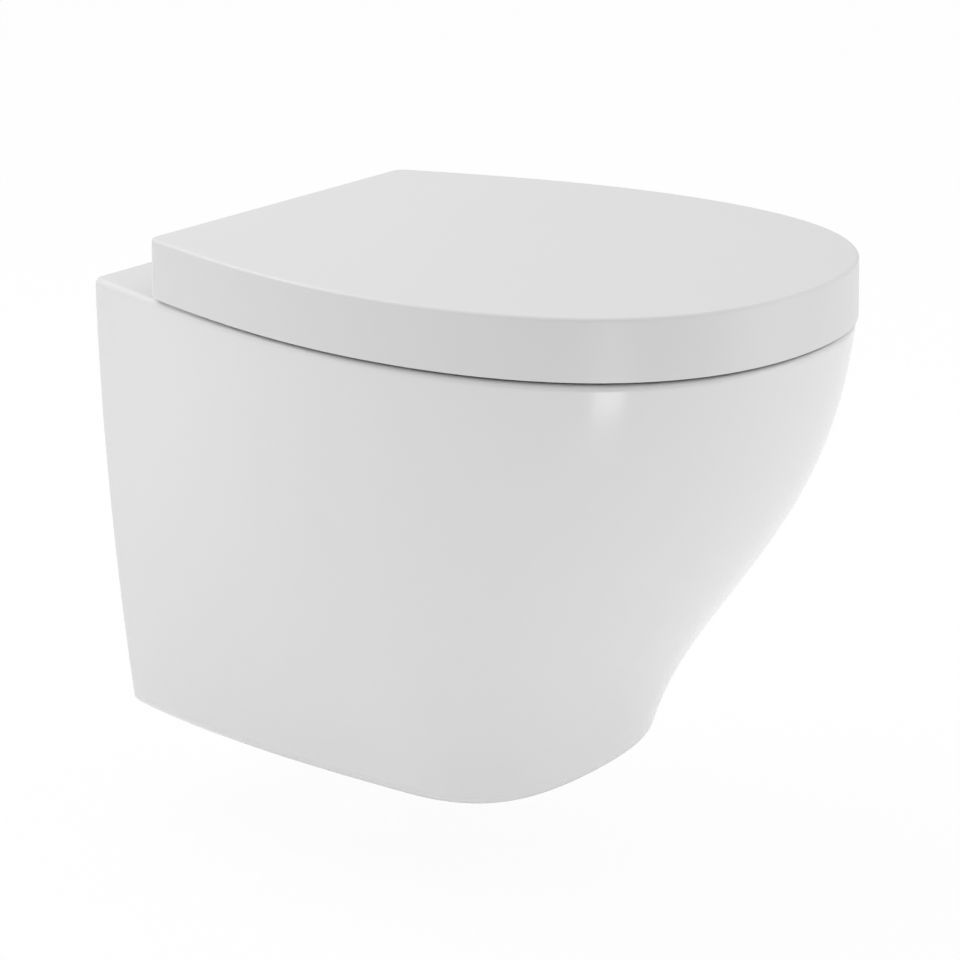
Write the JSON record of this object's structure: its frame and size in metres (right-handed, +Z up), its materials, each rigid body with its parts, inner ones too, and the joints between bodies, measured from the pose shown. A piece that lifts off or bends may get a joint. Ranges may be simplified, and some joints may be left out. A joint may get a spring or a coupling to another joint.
{
  "type": "wall hung toilet",
  "caption": "Glazed ceramic wall hung toilet pan with a wrap-over lid and seat ring that lift on shared slow-close hinges; concealed wall fixings, rear flush inlet and outlet.",
  "frame": {"origin": "middle of the two wall fixing holes, on the wall plane", "axes": "+Z up, the pan reaches out from the wall along -Y, +X to the right seen from the front"},
  "size_m": [0.3714, 0.5082, 0.365],
  "materials": {
    "glazed_china": "glossy glaze",
    "seat_plastic": "polished",
    "buffer_rubber": "soft matt",
    "seal_rubber": "matt",
    "hinge_casting": "polished",
    "fastener_steel": "satin",
    "damper_plastic": "satin",
    "fixing_nylon": "satin",
    "diffuser_plastic": "semi-gloss"
  },
  "bodies": {
    "pan": {"anchor_block_left": "fixing_nylon", "anchor_block_right": "fixing_nylon", "ceramic_pan": "glazed_china", "cone_washer_left": "fixing_nylon", "cone_washer_right": "fixing_nylon", "flush_diffuser": "diffuser_plastic", "foot_gasket_left": "seal_rubber", "foot_gasket_right": "seal_rubber", "hinge_pin_left": "fastener_steel", "hinge_pin_right": "fastener_steel", "hinge_post_left": "hinge_casting", "hinge_post_right": "hinge_casting", "hinge_stud_left": "fastener_steel", "hinge_stud_right": "fastener_steel", "inlet_seal": "seal_rubber", "locking_screw_left": "fastener_steel", "locking_screw_right": "fastener_steel", "wing_nut_left": "fixing_nylon", "wing_nut_right": "fixing_nylon"},
    "seat": {"seat_buffer_front_left": "buffer_rubber", "seat_buffer_front_right": "buffer_rubber", "seat_buffer_rear_left": "buffer_rubber", "seat_buffer_rear_right": "buffer_rubber", "seat_damper_left": "damper_plastic", "seat_damper_right": "damper_plastic", "seat_ring": "seat_plastic"},
    "lid": {"lid_buffer_front_left": "buffer_rubber", "lid_buffer_front_right": "buffer_rubber", "lid_buffer_rear_left": "buffer_rubber", "lid_buffer_rear_right": "buffer_rubber", "lid_damper_left": "damper_plastic", "lid_damper_right": "damper_plastic", "lid_shell": "seat_plastic"}
  },
  "joints": [
    {"name": "seat_hinge", "type": "hinge", "parent": "pan", "child": "seat", "pos_m": [0, -0.0862, 0.11], "axis": [-1, 0, 0], "range_deg": [0, 94]},
    {"name": "lid_hinge", "type": "hinge", "parent": "seat", "child": "lid", "pos_m": [0, -0.0862, 0.11], "axis": [-1, 0, 0], "range_deg": [0, 94]}
  ]
}
